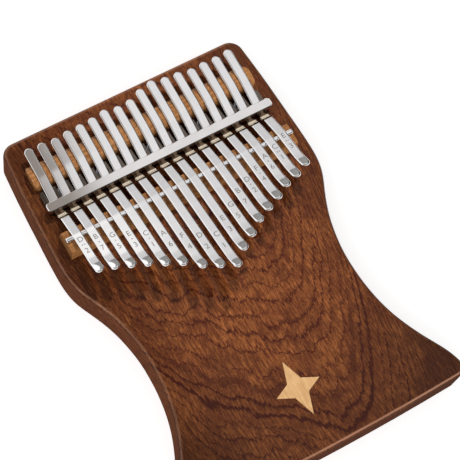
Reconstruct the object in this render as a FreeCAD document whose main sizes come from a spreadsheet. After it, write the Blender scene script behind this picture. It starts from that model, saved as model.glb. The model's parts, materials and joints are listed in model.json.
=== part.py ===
import FreeCAD, Part
import Sketcher
import math
import os

# Seventeen-tine lamellophone (thumb piano) on a solid wooden board.
# Frame: millimetres, +Z up, origin at the centre of the underside.
# +X runs across the tines from left to right, +Y points from the player's
# end towards the tails of the tines.  "Front" is towards the player (-Y),
# "rear" is towards the tails (+Y).

doc = FreeCAD.newDocument("Lamellophone")
V = FreeCAD.Vector
X_AXIS, Z_AXIS = V(1, 0, 0), V(0, 0, 1)

# ---------------------------------------------------------------------------
# Driving dimensions: numbers, or formulas on the aliases above them
# ---------------------------------------------------------------------------
DIMENSIONS = {
    "overrun": 1.0,                 # how far cutting shapes reach past the material

    # board; "top" is the end at +Y, "end" the player's end at -Y
    "board_len": 184.0,
    "board_thick": 17.5,
    "board_top_half": 60.8,
    "board_end_half": 68.0,
    "board_end_bow": 1.8,
    "corner_top": 6.5,
    "corner_end": 4.6,
    "edge_round": 2.0,
    "edge_under": 1.2,

    # tine strips
    "pitch": 6.4,
    "tine_width": 4.2,
    "tine_thick": 1.0,
    "tine_end_round": 2.0,
    "split_gap": 0.12,              # between root and tongue
    "tine_bevel": 0.3,
    "rest_gap": 0.03,               # between a strip and what it rests on

    # rear bridge, under the tails
    "rear_len": 112.0,
    "rear_wide": 12.0,
    "rear_high": 5.0,
    "rear_mid": 71.3,
    "rear_corner": 2.4,
    "rear_corner_back": 5.2,        # the corner at +X, +Y
    "rear_crown": 4.4,

    # front bridge, carries the rod
    "front_len": 113.8,
    "front_high": 6.5,
    "front_near": 30.5,
    "front_far": 42.3,
    "front_top_near": 31.2,
    "front_top_far": 41.3,
    "front_end_slope": 0.4,
    "front_round_near": 0.8,
    "front_round_far": 0.8,

    # rod
    "rod_dia": 2.4,
    "rod_len": 113.0,
    "rod_mid": 36.85,
    "rod_rise": 7.0,
    "rod_end_round": 0.45,

    # base plate under the bar
    "plate_len": 111.2,
    "plate_wide": 12.2,
    "plate_mid": 58.0,
    "plate_thick": 1.5,
    "plate_corner": 2.0,

    # pressure bar
    "bar_len": 112.8,
    "bar_wide": 4.4,
    "bar_high": 3.3,
    "bar_mid": 54.35,
    "bar_rise": 2.85,
    "bar_bevel": 0.3,
    "bar_corner": 1.6,

    # plate screws, countersunk from above
    "plate_screw_dia": 3.0,
    "plate_screw_head": 5.6,
    "plate_screw_head_high": 0.35,
    "plate_screw_len": 11.0,
    "plate_screw_point": 1.6,       # length of the tapered end
    "plate_screw_row": 60.4,
    "plate_screw_outer": "=7 * pitch",
    "plate_screw_inner": "=4 * pitch",
    "plate_screw_cone": 1.3,
    "plate_cone_play": 0.03,
    "plate_socket": 2.0,
    "plate_socket_deep": 0.9,

    # bar screws, from the underside of the board up into the bar,
    # each midway between two tines
    "bar_screw_dia": 2.0,
    "bar_screw_play": 0.3,          # on the diameter
    "bar_screw_head": 3.8,
    "bar_head_play": 0.6,           # on the diameter
    "bar_screw_head_high": 2.0,
    "bar_screw_sink": 3.0,
    "bar_screw_outer": "=7.5 * pitch",
    "bar_screw_inner": "=2.5 * pitch",
    "bar_screw_tap": 2.4,
    "bar_screw_end_gap": 0.1,
    "bar_screw_end_bevel": 0.3,
    "bar_socket": 1.5,
    "bar_socket_deep": 1.2,

    # star inlay
    "inlay_deep": 1.2,
    "inlay_mid": -63.5,
    "inlay_long": 12.6,
    "inlay_short": 10.4,
    "inlay_waist": 3.3,

    # side line of the tines: places along Y, heights of the upper side
    # above the playing face
    "split_pos": 34.6,
    "rod_line_top": "=rod_rise + rod_dia / 2 + tine_thick + rest_gap",
    "rod_flat_half": 0.6,           # half length of the short run over the rod
    "rod_flat_drop": 0.04,
    "crease_pos": 47.95,
    "crease_top": 5.1,
    "foot_pos": 50.2,
    "foot_top": 2.8,
    "seat_pos": 57.0,
    "seat_top": 2.8,
    "rear_rest_pos": 69.04,
    "rear_line_top": "=rear_high + tine_thick + rest_gap",
    "tail_slope": 0.06,
    "tail_guide_pos": 90.0,         # guide point that sets the lower corner
    "tail_guide_rise": 0.6,         # at the rear rest
    "tongue_slope": 0.195,
    "tip_bend_len": 8.0,
    "tip_bend_mid_slope": 0.38,
    "tip_bend_slope": 0.52,
}

# Side of the board: (y, half width), from the tail end to the player's end
OUTLINE = [
    (81.0, 61.55), (71.0, 62.2), (61.0, 62.65), (51.0, 63.0), (41.0, 63.35),
    (31.0, 63.5), (26.0, 63.35), (21.0, 62.75), (16.0, 61.4), (11.0, 59.2),
    (6.0, 56.85), (1.0, 54.75), (-4.0, 53.05), (-9.0, 51.75), (-14.0, 50.75),
    (-19.0, 50.05), (-24.0, 49.72), (-29.0, 49.7), (-34.0, 49.88), (-39.0, 50.35),
    (-44.0, 51.1), (-49.0, 52.15), (-54.0, 53.6), (-59.0, 55.45), (-64.0, 57.65),
    (-69.0, 60.15), (-74.0, 62.9), (-79.0, 65.4), (-84.0, 67.1),
]

# Tines from left to right: (y of the tail end, y of the played tip)
TINES = [
    (83.4, 15.8), (83.2, 13.8), (82.6, 11.0), (83.2, 8.2), (83.4, 4.7), (83.8, 1.2),
    (84.7, -3.8), (83.5, -7.3), (83.9, -10.4), (86.3, -4.9), (87.7, -0.9), (86.4, 3.5),
    (85.9, 6.5), (84.7, 9.3), (85.0, 12.8), (84.9, 14.8), (85.4, 17.8),
]
MIDDLE_TINE = 9

sheet = doc.addObject("Spreadsheet::Sheet", "Dims")
sheet.Label = "Dims"
aliases = []


def dim(alias, value):
    """Add a number or a formula to the sheet under an alias."""
    aliases.append(alias)
    cell = "A%d" % len(aliases)
    sheet.set(cell, value if isinstance(value, str) else "%.4f" % value)
    sheet.setAlias(cell, alias)


for alias, value in DIMENSIONS.items():
    dim(alias, value)
for n, (pos, half_width) in enumerate(OUTLINE):
    dim("outline_pos_%02d" % n, pos)
    dim("outline_half_%02d" % n, half_width)
for n, (tail, tip) in enumerate(TINES):
    dim("tail_end_%02d" % (n + 1), tail)
    dim("tip_end_%02d" % (n + 1), tip)
doc.recompute()

# Shared places, written as sums of aliases (see resolve)
PLATE_SCREWS_X = ("-plate_screw_outer", "-plate_screw_inner", "0",
                  "plate_screw_inner", "plate_screw_outer")
BAR_SCREWS_X = ("-bar_screw_outer", "-bar_screw_inner", "bar_screw_inner", "bar_screw_outer")
STAR = [("0", "inlay_long"), ("inlay_waist", "inlay_waist"),
        ("inlay_short", "0"), ("inlay_waist", "-inlay_waist"),
        ("0", "-inlay_long"), ("-inlay_waist", "-inlay_waist"),
        ("-inlay_short", "0"), ("-inlay_waist", "inlay_waist")]


# ---------------------------------------------------------------------------
# Values and expressions
# ---------------------------------------------------------------------------
def size(alias):
    return float(sheet.get(alias))


def resolve(text, sign=1):
    """Value and expression of a sum such as "bar_len/2 - bar_corner + 1"."""
    total, term_sign, words = 0.0, 1, []
    for word in text.replace("-", " - ").split():
        if word in ("+", "-"):
            term_sign = -1 if word == "-" else 1
        elif word[0].isalpha():
            alias, _, divisor = word.partition("/")
            total += term_sign * size(alias) / float(divisor or 1)
            word = "Dims." + word
        else:
            total += term_sign * float(word)
        words.append(word)
    expression = " ".join(words)
    if sign < 0:
        return -total, "-(%s)" % expression
    return total, expression


def bind(item, prop, text):
    item.setExpression(prop, resolve(text)[1])


# ---------------------------------------------------------------------------
# Sketches; coordinates are texts for resolve
# ---------------------------------------------------------------------------
nodes = []


def new_body(name):
    body = doc.addObject("PartDesign::Body", name)
    body.Label = name
    nodes.append(body)
    return body


def new_sketch(body, name, role):
    plane = [f for f in body.Origin.OriginFeatures if f.Role == role][0]
    sketch = body.newObject("Sketcher::SketchObject", name)
    sketch.AttachmentSupport = [(plane, "")]
    sketch.MapMode = "FlatFace"
    return sketch


def constrain(sketch, constraint_args, text, sign=1):
    """Dimension constraint with its value bound to the sheet."""
    value, expression = resolve(text, sign)
    index = sketch.addConstraint(Sketcher.Constraint(*constraint_args, value))
    if "Dims" in expression:
        sketch.setExpression("Constraints[%d]" % index, expression)


def pin(sketch, geometry, point, x, y, side=1):
    """Tie a point to the origin; side -1 mirrors x."""
    constrain(sketch, ("DistanceX", -1, 1, geometry, point), x, side)
    constrain(sketch, ("DistanceY", -1, 1, geometry, point), y)


def vectors(points, side=1):
    return [V(resolve(x, side)[0], resolve(y)[0], 0) for x, y in points]


def polygon(sketch, points, side=1):
    """Closed polygon with every corner pinned."""
    first, count = len(sketch.Geometry), len(points)
    corners = vectors(points, side)
    for i in range(count):
        sketch.addGeometry(Part.LineSegment(corners[i], corners[(i + 1) % count]), False)
    for i in range(count):
        sketch.addConstraint(
            Sketcher.Constraint("Coincident", first + i, 2, first + (i + 1) % count, 1))
    for i, (x, y) in enumerate(points):
        pin(sketch, first + i, 1, x, y, side)


def rectangle(sketch, length, width):
    """Rectangle centred on the origin."""
    x, y = length + "/2", width + "/2"
    polygon(sketch, [("-" + x, "-" + y), (x, "-" + y), (x, y), ("-" + x, y)])


def circle(sketch, x, y, diameter):
    index = len(sketch.Geometry)
    centre = vectors([(x, y)])[0]
    sketch.addGeometry(Part.Circle(centre, Z_AXIS, resolve(diameter)[0] / 2), False)
    pin(sketch, index, 3, x, y)
    constrain(sketch, ("Diameter", index), diameter)


# ---------------------------------------------------------------------------
# Features; each is computed at once, so that the next can pick its edges
# ---------------------------------------------------------------------------
def make_symmetric(feature):
    # SideType is missing in versions that still use Midplane
    try:
        feature.SideType = "Symmetric"
    except Exception:
        feature.Midplane = True


def pad(body, sketch, name, length, symmetric=False):
    feature = body.newObject("PartDesign::Pad", name)
    feature.Profile = sketch
    bind(feature, "Length", length)
    if symmetric:
        make_symmetric(feature)
    sketch.Visibility = False
    doc.recompute()


def pocket(body, sketch, name, length=None):
    """Cut right through both ways, or to a length along the sketch normal."""
    before = body.Tip.Shape.Volume
    feature = body.newObject("PartDesign::Pocket", name)
    feature.Profile = sketch
    if length is None:
        feature.Type = "ThroughAll"
        make_symmetric(feature)
    else:
        bind(feature, "Length", length)
        feature.Reversed = True
    sketch.Visibility = False
    doc.recompute()
    if feature.Shape.Volume > before - 1.0:
        raise RuntimeError(name + " cuts nothing")


def dress(body, kind, name, test, amount):
    """Fillet or Chamfer on the edges of the body that pass the test."""
    base = body.Tip
    edges = ["Edge%d" % (i + 1) for i, edge in enumerate(base.Shape.Edges) if test(edge)]
    feature = body.newObject("PartDesign::" + kind, name)
    feature.Base = (base, edges)
    bind(feature, "Radius" if kind == "Fillet" else "Size", amount)
    doc.recompute()


def near(a, b, tolerance=1e-3):
    return abs(a - b) < tolerance


def along(edge, axis):
    """True if the ends of the edge lie along the axis."""
    if len(edge.Vertexes) != 2:
        return False
    chord = edge.Vertexes[1].Point - edge.Vertexes[0].Point
    if chord.Length < 1e-6:
        return False
    chord.normalize()
    return near(abs(chord.dot(axis)), 1.0, 0.02)


def upright(edge):
    return along(edge, Z_AXIS)


def at_height(edge, z):
    return near(edge.BoundBox.ZMin, z) and near(edge.BoundBox.ZMax, z)


def is_circle(edge):
    return edge.Curve.TypeId == "Part::GeomCircle"


def add_shape(name, shape):
    item = doc.addObject("Part::Feature", name)
    item.Label = name
    item.Shape = shape
    nodes.append(item)


TOP = size("board_thick")          # height of the playing face
OVERRUN = size("overrun")


# ---------------------------------------------------------------------------
# Sound board: free-form outline, so it is built with Part's own functions
# ---------------------------------------------------------------------------
def spline(points):
    curve = Part.BSplineCurve()
    curve.interpolate(points)
    return curve.toShape()


def board_blank():
    half = size("board_len") / 2
    right = [V(size("board_top_half"), half, 0)]
    for n in range(len(OUTLINE)):
        right.append(V(size("outline_half_%02d" % n), size("outline_pos_%02d" % n), 0))
    right.append(V(size("board_end_half"), -half + size("board_end_bow"), 0))
    left = [V(-p.x, p.y, 0) for p in reversed(right)]
    outline = Part.Wire([
        Part.makeLine(left[-1], right[0]),
        spline(right),
        Part.Arc(right[-1], V(0, -half, 0), left[0]).toShape(),
        spline(left),
    ])
    end_zone = -half + 6.0          # the player's end corners lie in front of this
    blank = Part.Face(outline).extrude(V(0, 0, TOP))
    for radius, test in (
            ("corner_top", lambda e: upright(e) and e.Vertexes[0].Point.y > 0),
            ("corner_end", lambda e: upright(e) and e.Vertexes[0].Point.y < end_zone),
            ("edge_round", lambda e: at_height(e, TOP)),
            ("edge_under", lambda e: at_height(e, 0.0))):
        blank = blank.makeFillet(size(radius), [e for e in blank.Edges if test(e)])
    return blank


def board_cutters():
    """Inlay recess, plate screw holes, bar screw holes with head recesses."""
    points = vectors(STAR)
    recess = Part.Face(Part.makePolygon(points + [points[0]])).extrude(
        V(0, 0, size("inlay_deep") + OVERRUN))
    recess.translate(V(0, size("inlay_mid"), TOP - size("inlay_deep")))
    cutters = [recess]
    depth = size("plate_screw_len") - size("plate_thick")
    for text in PLATE_SCREWS_X:
        foot = V(resolve(text)[0], size("plate_screw_row"), TOP - depth)
        cutters.append(Part.makeCylinder(size("plate_screw_dia") / 2, depth + OVERRUN, foot))
    shank = (size("bar_screw_dia") + size("bar_screw_play")) / 2
    head = (size("bar_screw_head") + size("bar_head_play")) / 2
    for text in BAR_SCREWS_X:
        foot = V(resolve(text)[0], size("bar_mid"), -OVERRUN)
        cutters.append(Part.makeCylinder(shank, TOP + 2 * OVERRUN, foot))
        cutters.append(Part.makeCylinder(head, size("bar_screw_sink") + OVERRUN, foot))
    return cutters


def make_board():
    board = board_blank()
    for cutter in board_cutters():
        board = board.cut(cutter)
    add_shape("sound_board", board)


# ---------------------------------------------------------------------------
# Star inlay, flush with the playing face
# ---------------------------------------------------------------------------
def make_inlay():
    body = new_body("star_inlay")
    sketch = new_sketch(body, "inlay_outline", "XY_Plane")
    polygon(sketch, STAR)
    pad(body, sketch, "inlay_pad", "inlay_deep")
    bind(body, "Placement.Base.y", "inlay_mid")
    bind(body, "Placement.Base.z", "board_thick - inlay_deep")


# ---------------------------------------------------------------------------
# Rear bridge: strip with a crowned section and rounded corners in plan
# ---------------------------------------------------------------------------
def crown_sliver(sketch, side):
    """Four lines and an arc around what is taken off one long upper edge."""
    points = [("rear_wide/2 - rear_crown", "rear_high"),
              ("rear_wide/2 - rear_crown", "rear_high + overrun"),
              ("rear_wide/2 + overrun", "rear_high + overrun"),
              ("rear_wide/2 + overrun", "rear_high - rear_crown"),
              ("rear_wide/2", "rear_high - rear_crown")]
    first = len(sketch.Geometry)
    arc = first + 4
    corners = vectors(points, side)
    for i in range(4):
        sketch.addGeometry(Part.LineSegment(corners[i], corners[i + 1]), False)
    centre = V(corners[0].x, corners[4].y, 0)
    quarter = math.pi / 2
    start = 0.0 if side > 0 else quarter
    full = Part.Circle(centre, Z_AXIS, size("rear_crown"))
    sketch.addGeometry(Part.ArcOfCircle(full, start, start + quarter), False)
    # arcs run anticlockwise, so the end that lies low depends on the side
    low, high = (1, 2) if side > 0 else (2, 1)
    for i in range(first, first + 3):
        sketch.addConstraint(Sketcher.Constraint("Coincident", i, 2, i + 1, 1))
    sketch.addConstraint(Sketcher.Constraint("Coincident", first + 3, 2, arc, low))
    sketch.addConstraint(Sketcher.Constraint("Coincident", first, 1, arc, high))
    for i, (x, y) in enumerate(points[:4]):
        pin(sketch, first + i, 1, x, y, side)
    pin(sketch, first + 3, 2, *points[4], side)
    constrain(sketch, ("DistanceX", -1, 1, arc, 3), points[0][0], side)


def make_rear_bridge():
    body = new_body("rear_bridge")
    sketch = new_sketch(body, "rear_plan", "XY_Plane")
    rectangle(sketch, "rear_len", "rear_wide")
    pad(body, sketch, "rear_pad", "rear_high")

    def at_back_right(edge):
        box = edge.BoundBox
        return near(box.XMin, size("rear_len") / 2) and near(box.YMin, size("rear_wide") / 2)

    dress(body, "Fillet", "rear_ends",
          lambda e: upright(e) and not at_back_right(e), "rear_corner")
    dress(body, "Fillet", "rear_end_back",
          lambda e: upright(e) and at_back_right(e), "rear_corner_back")
    sketch = new_sketch(body, "rear_crown_cut", "YZ_Plane")
    for side in (-1, 1):
        crown_sliver(sketch, side)
    pocket(body, sketch, "rear_crown_pocket")
    bind(body, "Placement.Base.y", "rear_mid")
    bind(body, "Placement.Base.z", "board_thick")


# ---------------------------------------------------------------------------
# Front bridge: tapered block with sloped ends and a groove for the rod
# ---------------------------------------------------------------------------
def make_front_bridge():
    body = new_body("front_bridge")
    sketch = new_sketch(body, "front_section", "YZ_Plane")
    polygon(sketch, [("front_near", "0"), ("front_far", "0"),
                     ("front_top_far", "front_high"), ("front_top_near", "front_high")])
    pad(body, sketch, "front_pad", "front_len", symmetric=True)

    sketch = new_sketch(body, "front_ends", "XZ_Plane")
    for side in (1, -1):
        polygon(sketch, [("front_len/2", "0"),
                         ("front_len/2 + overrun", "0"),
                         ("front_len/2 + overrun", "front_high + overrun"),
                         ("front_len/2 - front_end_slope", "front_high + overrun"),
                         ("front_len/2 - front_end_slope", "front_high")], side)
    pocket(body, sketch, "front_end_cut")

    def long_top_edge(edge, y):
        return (along(edge, X_AXIS) and near(edge.BoundBox.ZMin, size("front_high"))
                and near(edge.BoundBox.YMin, y))

    dress(body, "Fillet", "front_round_near",
          lambda e: long_top_edge(e, size("front_top_near")), "front_round_near")
    dress(body, "Fillet", "front_round_far",
          lambda e: long_top_edge(e, size("front_top_far")), "front_round_far")
    sketch = new_sketch(body, "rod_groove", "YZ_Plane")
    circle(sketch, "rod_mid", "rod_rise", "rod_dia")
    pocket(body, sketch, "groove")
    bind(body, "Placement.Base.z", "board_thick")


# ---------------------------------------------------------------------------
# Rod across the front bridge
# ---------------------------------------------------------------------------
def make_rod():
    body = new_body("bridge_rod")
    sketch = new_sketch(body, "rod_section", "YZ_Plane")
    circle(sketch, "0", "0", "rod_dia")
    pad(body, sketch, "rod_pad", "rod_len", symmetric=True)
    dress(body, "Fillet", "rod_ends", is_circle, "rod_end_round")
    bind(body, "Placement.Base.y", "rod_mid")
    bind(body, "Placement.Base.z", "board_thick + rod_rise")


# ---------------------------------------------------------------------------
# Base plate with countersunk holes and clearance holes for the bar screws
# ---------------------------------------------------------------------------
def make_base_plate():
    body = new_body("base_plate")
    sketch = new_sketch(body, "plate_plan", "XY_Plane")
    rectangle(sketch, "plate_len", "plate_wide")
    pad(body, sketch, "plate_pad", "plate_thick")
    dress(body, "Fillet", "plate_corners", upright, "plate_corner")
    sketch = new_sketch(body, "plate_holes", "XY_Plane")
    for x in PLATE_SCREWS_X:
        circle(sketch, x, "plate_screw_row - plate_mid", "plate_screw_dia")
    for x in BAR_SCREWS_X:
        circle(sketch, x, "bar_mid - plate_mid", "bar_screw_dia + bar_screw_play")
    pocket(body, sketch, "plate_hole_cut")
    dress(body, "Chamfer", "plate_countersinks",
          lambda e: is_circle(e) and at_height(e, size("plate_thick"))
          and near(e.Curve.Radius, size("plate_screw_dia") / 2),
          "plate_screw_cone + plate_cone_play")
    bind(body, "Placement.Base.y", "plate_mid")
    bind(body, "Placement.Base.z", "board_thick")


# ---------------------------------------------------------------------------
# Pressure bar: bevelled bar with rounded ends, tapped from below
# ---------------------------------------------------------------------------
def make_pressure_bar():
    body = new_body("pressure_bar")
    sketch = new_sketch(body, "bar_plan", "XY_Plane")
    rectangle(sketch, "bar_len", "bar_wide")
    pad(body, sketch, "bar_pad", "bar_high")
    dress(body, "Fillet", "bar_ends", upright, "bar_corner")
    dress(body, "Chamfer", "bar_bevels", lambda e: at_height(e, size("bar_high")), "bar_bevel")
    sketch = new_sketch(body, "bar_taps", "XY_Plane")
    for x in BAR_SCREWS_X:
        circle(sketch, x, "0", "bar_screw_dia")
    pocket(body, sketch, "bar_tap_cut", "bar_screw_tap")
    bind(body, "Placement.Base.y", "bar_mid")
    bind(body, "Placement.Base.z", "board_thick + bar_rise")


# ---------------------------------------------------------------------------
# Screws: groups of identical turned solids with a hex socket
# ---------------------------------------------------------------------------
def hex_prism(across, length, z):
    """Upright hexagonal prism on the Z axis, its foot at z."""
    radius = across / math.sqrt(3)
    points = []
    for i in range(7):
        angle = math.radians(60 * i)
        points.append(V(radius * math.cos(angle), radius * math.sin(angle), z))
    return Part.Face(Part.makePolygon(points)).extrude(V(0, 0, length))


def add_screws(name, profile, socket, places_x, y, z):
    """profile: (radius, z) points, closed here; z: height of its zero."""
    points = [V(r, 0, height) for r, height in profile]
    solids = []
    for text in places_x:
        screw = Part.Face(Part.makePolygon(points + [points[0]])).revolve(V(0, 0, 0), Z_AXIS, 360)
        screw = screw.cut(socket)
        screw.translate(V(resolve(text)[0], y, z))
        solids.append(screw.Solids[0])
    add_shape(name, Part.makeCompound(solids))


def make_plate_screws():
    # zero of the profile is the upper face of the base plate
    shank = size("plate_screw_dia") / 2
    head = size("plate_screw_head") / 2
    dome = size("plate_screw_head_high")
    length = size("plate_screw_len")
    profile = [(0, -length), (shank * 0.35, -length),
               (shank, -length + size("plate_screw_point")),
               (shank, -size("plate_screw_cone")), (head, 0),
               (head * 0.8, dome * 0.7), (head * 0.45, dome), (0, dome)]
    depth = size("plate_socket_deep")
    socket = hex_prism(size("plate_socket"), depth + OVERRUN, -depth)
    add_screws("plate_screws", profile, socket, PLATE_SCREWS_X,
               size("plate_screw_row"), TOP + size("plate_thick"))


def make_bar_screws():
    # zero of the profile is the underside of the board
    shank = size("bar_screw_dia") / 2
    head = size("bar_screw_head") / 2
    seat = size("bar_screw_sink")
    bottom = seat - size("bar_screw_head_high")
    end = TOP + size("bar_rise") + size("bar_screw_tap") - size("bar_screw_end_gap")
    bevel = size("bar_screw_end_bevel")
    profile = [(0, bottom), (head, bottom), (head, seat), (shank, seat),
               (shank, end - bevel), (shank - bevel, end), (0, end)]
    socket = hex_prism(size("bar_socket"), size("bar_socket_deep") + OVERRUN, bottom - OVERRUN)
    add_screws("bar_screws", profile, socket, BAR_SCREWS_X, size("bar_mid"), 0)


# ---------------------------------------------------------------------------
# Tines.  Each strip is divided just in front of the rod into the clamped root
# and the free tongue.  The side profile is a chain of straight runs; the lower
# side is the upper side offset by the strip thickness.
# ---------------------------------------------------------------------------
def offset_down(points, distance):
    """Offset an open chain of (y, z) points, y rising, with mitred corners."""
    runs = []
    for (y0, z0), (y1, z1) in zip(points, points[1:]):
        length = math.hypot(y1 - y0, z1 - z0)
        runs.append(((y1 - y0) / length, (z1 - z0) / length))
    lower = []
    for i, (y, z) in enumerate(points):
        before, after = runs[max(i - 1, 0)], runs[min(i, len(runs) - 1)]
        mean_y, mean_z = before[0] + after[0], before[1] + after[1]
        length = math.hypot(mean_y, mean_z)
        mean_y, mean_z = mean_y / length, mean_z / length
        reach = distance / (mean_y * before[0] + mean_z * before[1])
        lower.append((y + mean_z * reach, z - mean_y * reach))
    return lower


def front_line(y):
    """Height of the upper side in front of the rod."""
    return size("rod_line_top") + (size("rod_mid") - y) * size("tongue_slope")


def name_points(prefix, points):
    """Put (y, z) points in the sheet and return their aliases."""
    named = []
    for i, (y, z) in enumerate(points):
        pair = ("%s_pos_%d" % (prefix, i), "%s_top_%d" % (prefix, i))
        dim(pair[0], y)
        dim(pair[1], z)
        named.append(pair)
    return named


def root_sides():
    """Upper and lower side of the root, up to the rear bridge."""
    start = size("split_pos") + size("split_gap") / 2
    rod, flat = size("rod_mid"), size("rod_flat_half")
    rear_top = size("rear_line_top")
    upper = [(start, front_line(start)),
             (rod - flat, front_line(rod - flat)),
             (rod + flat, size("rod_line_top") - size("rod_flat_drop")),
             (size("crease_pos"), size("crease_top")),
             (size("foot_pos"), size("foot_top")),
             (size("seat_pos"), size("seat_top")),
             (size("rear_rest_pos"), rear_top)]
    guide = (size("tail_guide_pos"), rear_top + size("tail_guide_rise"))
    lower = offset_down(upper + [guide], size("tine_thick"))[:-1]
    return name_points("root_up", upper), name_points("root_low", lower)


def tongue_sides(number, tip):
    """Upper and lower side of a tongue, from the bent tip to the split."""
    end = size("split_pos") - size("split_gap") / 2
    bend = size("tip_bend_len")
    bend_start, bend_mid = tip + bend, tip + bend / 2
    slope = size("tip_bend_slope")
    mid_top = front_line(bend_start) + (bend_start - bend_mid) * size("tip_bend_mid_slope")
    tip_top = mid_top + (bend_mid - tip) * slope
    upper = [(tip, tip_top), (bend_mid, mid_top),
             (bend_start, front_line(bend_start)), (end, front_line(end))]
    thick = size("tine_thick")
    lower = offset_down(upper, thick)
    lower[0] = (tip, tip_top - thick * math.hypot(1.0, slope))    # upright end face
    prefix = "tongue_%02d" % number
    return name_points(prefix + "_up", upper), name_points(prefix + "_low", lower)


def strip_outlines():
    """(name, outline, tine number, y of the rounded end) of every strip."""
    strips = []
    root_upper, root_lower = root_sides()
    for number, (tail, tip) in enumerate(TINES, 1):
        rise = (tail - size("rear_rest_pos")) * size("tail_slope")
        tail_pos, tail_top = "tail_end_%02d" % number, "tail_up_top_%02d" % number
        dim(tail_top, size("rear_line_top") + rise)
        upper = root_upper + [(tail_pos, tail_top)]
        lower = root_lower + [(tail_pos, tail_top + " - tine_thick")]
        strips.append(("tine_%02d_root" % number, upper + lower[::-1], number, tail))
        upper, lower = tongue_sides(number, tip)
        strips.append(("tine_%02d_tongue" % number, upper + lower[::-1], number, tip))
    return strips


def on_upper_rim(shape, edge):
    """True for an edge between an upper face and a side or rounded end."""
    upper = sides = 0
    for face in shape.ancestorsOfType(edge, Part.Face):
        u0, u1, v0, v1 = face.ParameterRange
        tilt = face.normalAt((u0 + u1) / 2, (v0 + v1) / 2).z
        if tilt > 0.6:
            upper += 1
        elif abs(tilt) < 0.25 and face.BoundBox.YLength > 0.2:
            # the length leaves out the flat face at the split
            sides += 1
    return upper == 1 and sides == 1


def make_strip(name, outline, number, end):
    body = new_body(name)
    sketch = new_sketch(body, name + "_side", "YZ_Plane")
    polygon(sketch, outline)
    pad(body, sketch, name + "_pad", "tine_width", symmetric=True)
    body.setExpression("Placement.Base.x", "Dims.pitch * (%d)" % (number - MIDDLE_TINE))
    bind(body, "Placement.Base.z", "board_thick")

    def end_corner(edge):
        box = edge.BoundBox
        return near(box.YMin, end, 0.05) and near(box.YMax, end, 0.05) and box.XLength < 0.01

    dress(body, "Fillet", name + "_end", end_corner, "tine_end_round")
    rounded = body.Tip.Shape
    dress(body, "Chamfer", name + "_bevel", lambda e: on_upper_rim(rounded, e), "tine_bevel")


def make_tines():
    # the sheet is filled first, since each change to it rebuilds every body
    strips = strip_outlines()
    doc.recompute()
    for strip in strips:
        make_strip(*strip)


make_board()
make_inlay()
make_rear_bridge()
make_front_bridge()
make_rod()
make_base_plate()
make_pressure_bar()
make_plate_screws()
make_bar_screws()
make_tines()
doc.recompute()

# ---------------------------------------------------------------------------
# Check and write
# ---------------------------------------------------------------------------
for item in doc.Objects:
    for word in ("Invalid", "Error"):
        if word in item.State:
            raise RuntimeError("%s is %s" % (item.Name, item.State))
os.makedirs("parts", exist_ok=True)
for node in nodes:
    shape = node.Shape
    if shape.isNull() or not shape.isValid() or shape.Volume <= 0:
        raise RuntimeError("bad shape " + node.Label)
    shape.exportStep("parts/%s.step" % node.Label)
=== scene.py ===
# A 17-tine thumb piano. The board lies flat with its playing face up (+Z) at height TOP.
# The tines run along Y: free tips towards the player (-Y), tails to the rear (+Y).
# +X is the player's right. Lengths are millimetres unless a name ends in _M, and "up" is
# a height above the playing face. The stage (floor, lights, camera) is in metres.
import json
import math
from collections import namedtuple

import bmesh
import bpy
from mathutils import Matrix, Vector

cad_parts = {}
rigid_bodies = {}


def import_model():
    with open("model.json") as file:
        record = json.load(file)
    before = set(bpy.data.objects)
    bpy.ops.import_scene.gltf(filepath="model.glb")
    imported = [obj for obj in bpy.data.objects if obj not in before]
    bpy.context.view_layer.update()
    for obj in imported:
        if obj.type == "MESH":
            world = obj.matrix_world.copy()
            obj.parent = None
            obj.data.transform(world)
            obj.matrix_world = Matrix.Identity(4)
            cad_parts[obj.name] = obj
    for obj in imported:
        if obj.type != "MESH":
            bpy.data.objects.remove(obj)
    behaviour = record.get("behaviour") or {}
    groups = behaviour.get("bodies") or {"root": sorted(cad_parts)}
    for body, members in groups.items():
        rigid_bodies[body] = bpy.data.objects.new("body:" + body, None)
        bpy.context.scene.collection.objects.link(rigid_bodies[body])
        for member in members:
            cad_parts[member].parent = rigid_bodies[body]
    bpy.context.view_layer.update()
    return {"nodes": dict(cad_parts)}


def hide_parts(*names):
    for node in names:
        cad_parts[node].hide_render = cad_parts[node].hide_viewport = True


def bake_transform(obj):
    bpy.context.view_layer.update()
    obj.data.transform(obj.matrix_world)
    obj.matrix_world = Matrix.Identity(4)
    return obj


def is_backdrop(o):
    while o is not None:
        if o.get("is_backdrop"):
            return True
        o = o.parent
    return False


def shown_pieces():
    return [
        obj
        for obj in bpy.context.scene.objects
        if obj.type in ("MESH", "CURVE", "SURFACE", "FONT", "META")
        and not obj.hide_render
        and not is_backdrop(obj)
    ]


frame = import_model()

MM = 0.001
scene = bpy.context.scene
objects = scene.collection.objects

# ---------------------------------------------------------------------------
# Driving dimensions
# ---------------------------------------------------------------------------
TOP = 17.5
PITCH = 6.4
WIDTH = 4.2
THICK = 1.0
# y of each tine's two ends, from the leftmost tine to the rightmost
TAIL_Y = [83.4, 83.2, 82.6, 83.2, 83.4, 83.8, 84.7, 83.5, 83.9,
          86.3, 87.7, 86.4, 85.9, 84.7, 85.0, 84.9, 85.4]
TIP_Y = [15.8, 13.8, 11.0, 8.2, 4.7, 1.2, -3.8, -7.3, -10.4,
         -4.9, -0.9, 3.5, 6.5, 9.3, 12.8, 14.8, 17.8]
COUNT = len(TIP_Y)
MIDDLE = COUNT // 2

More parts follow.
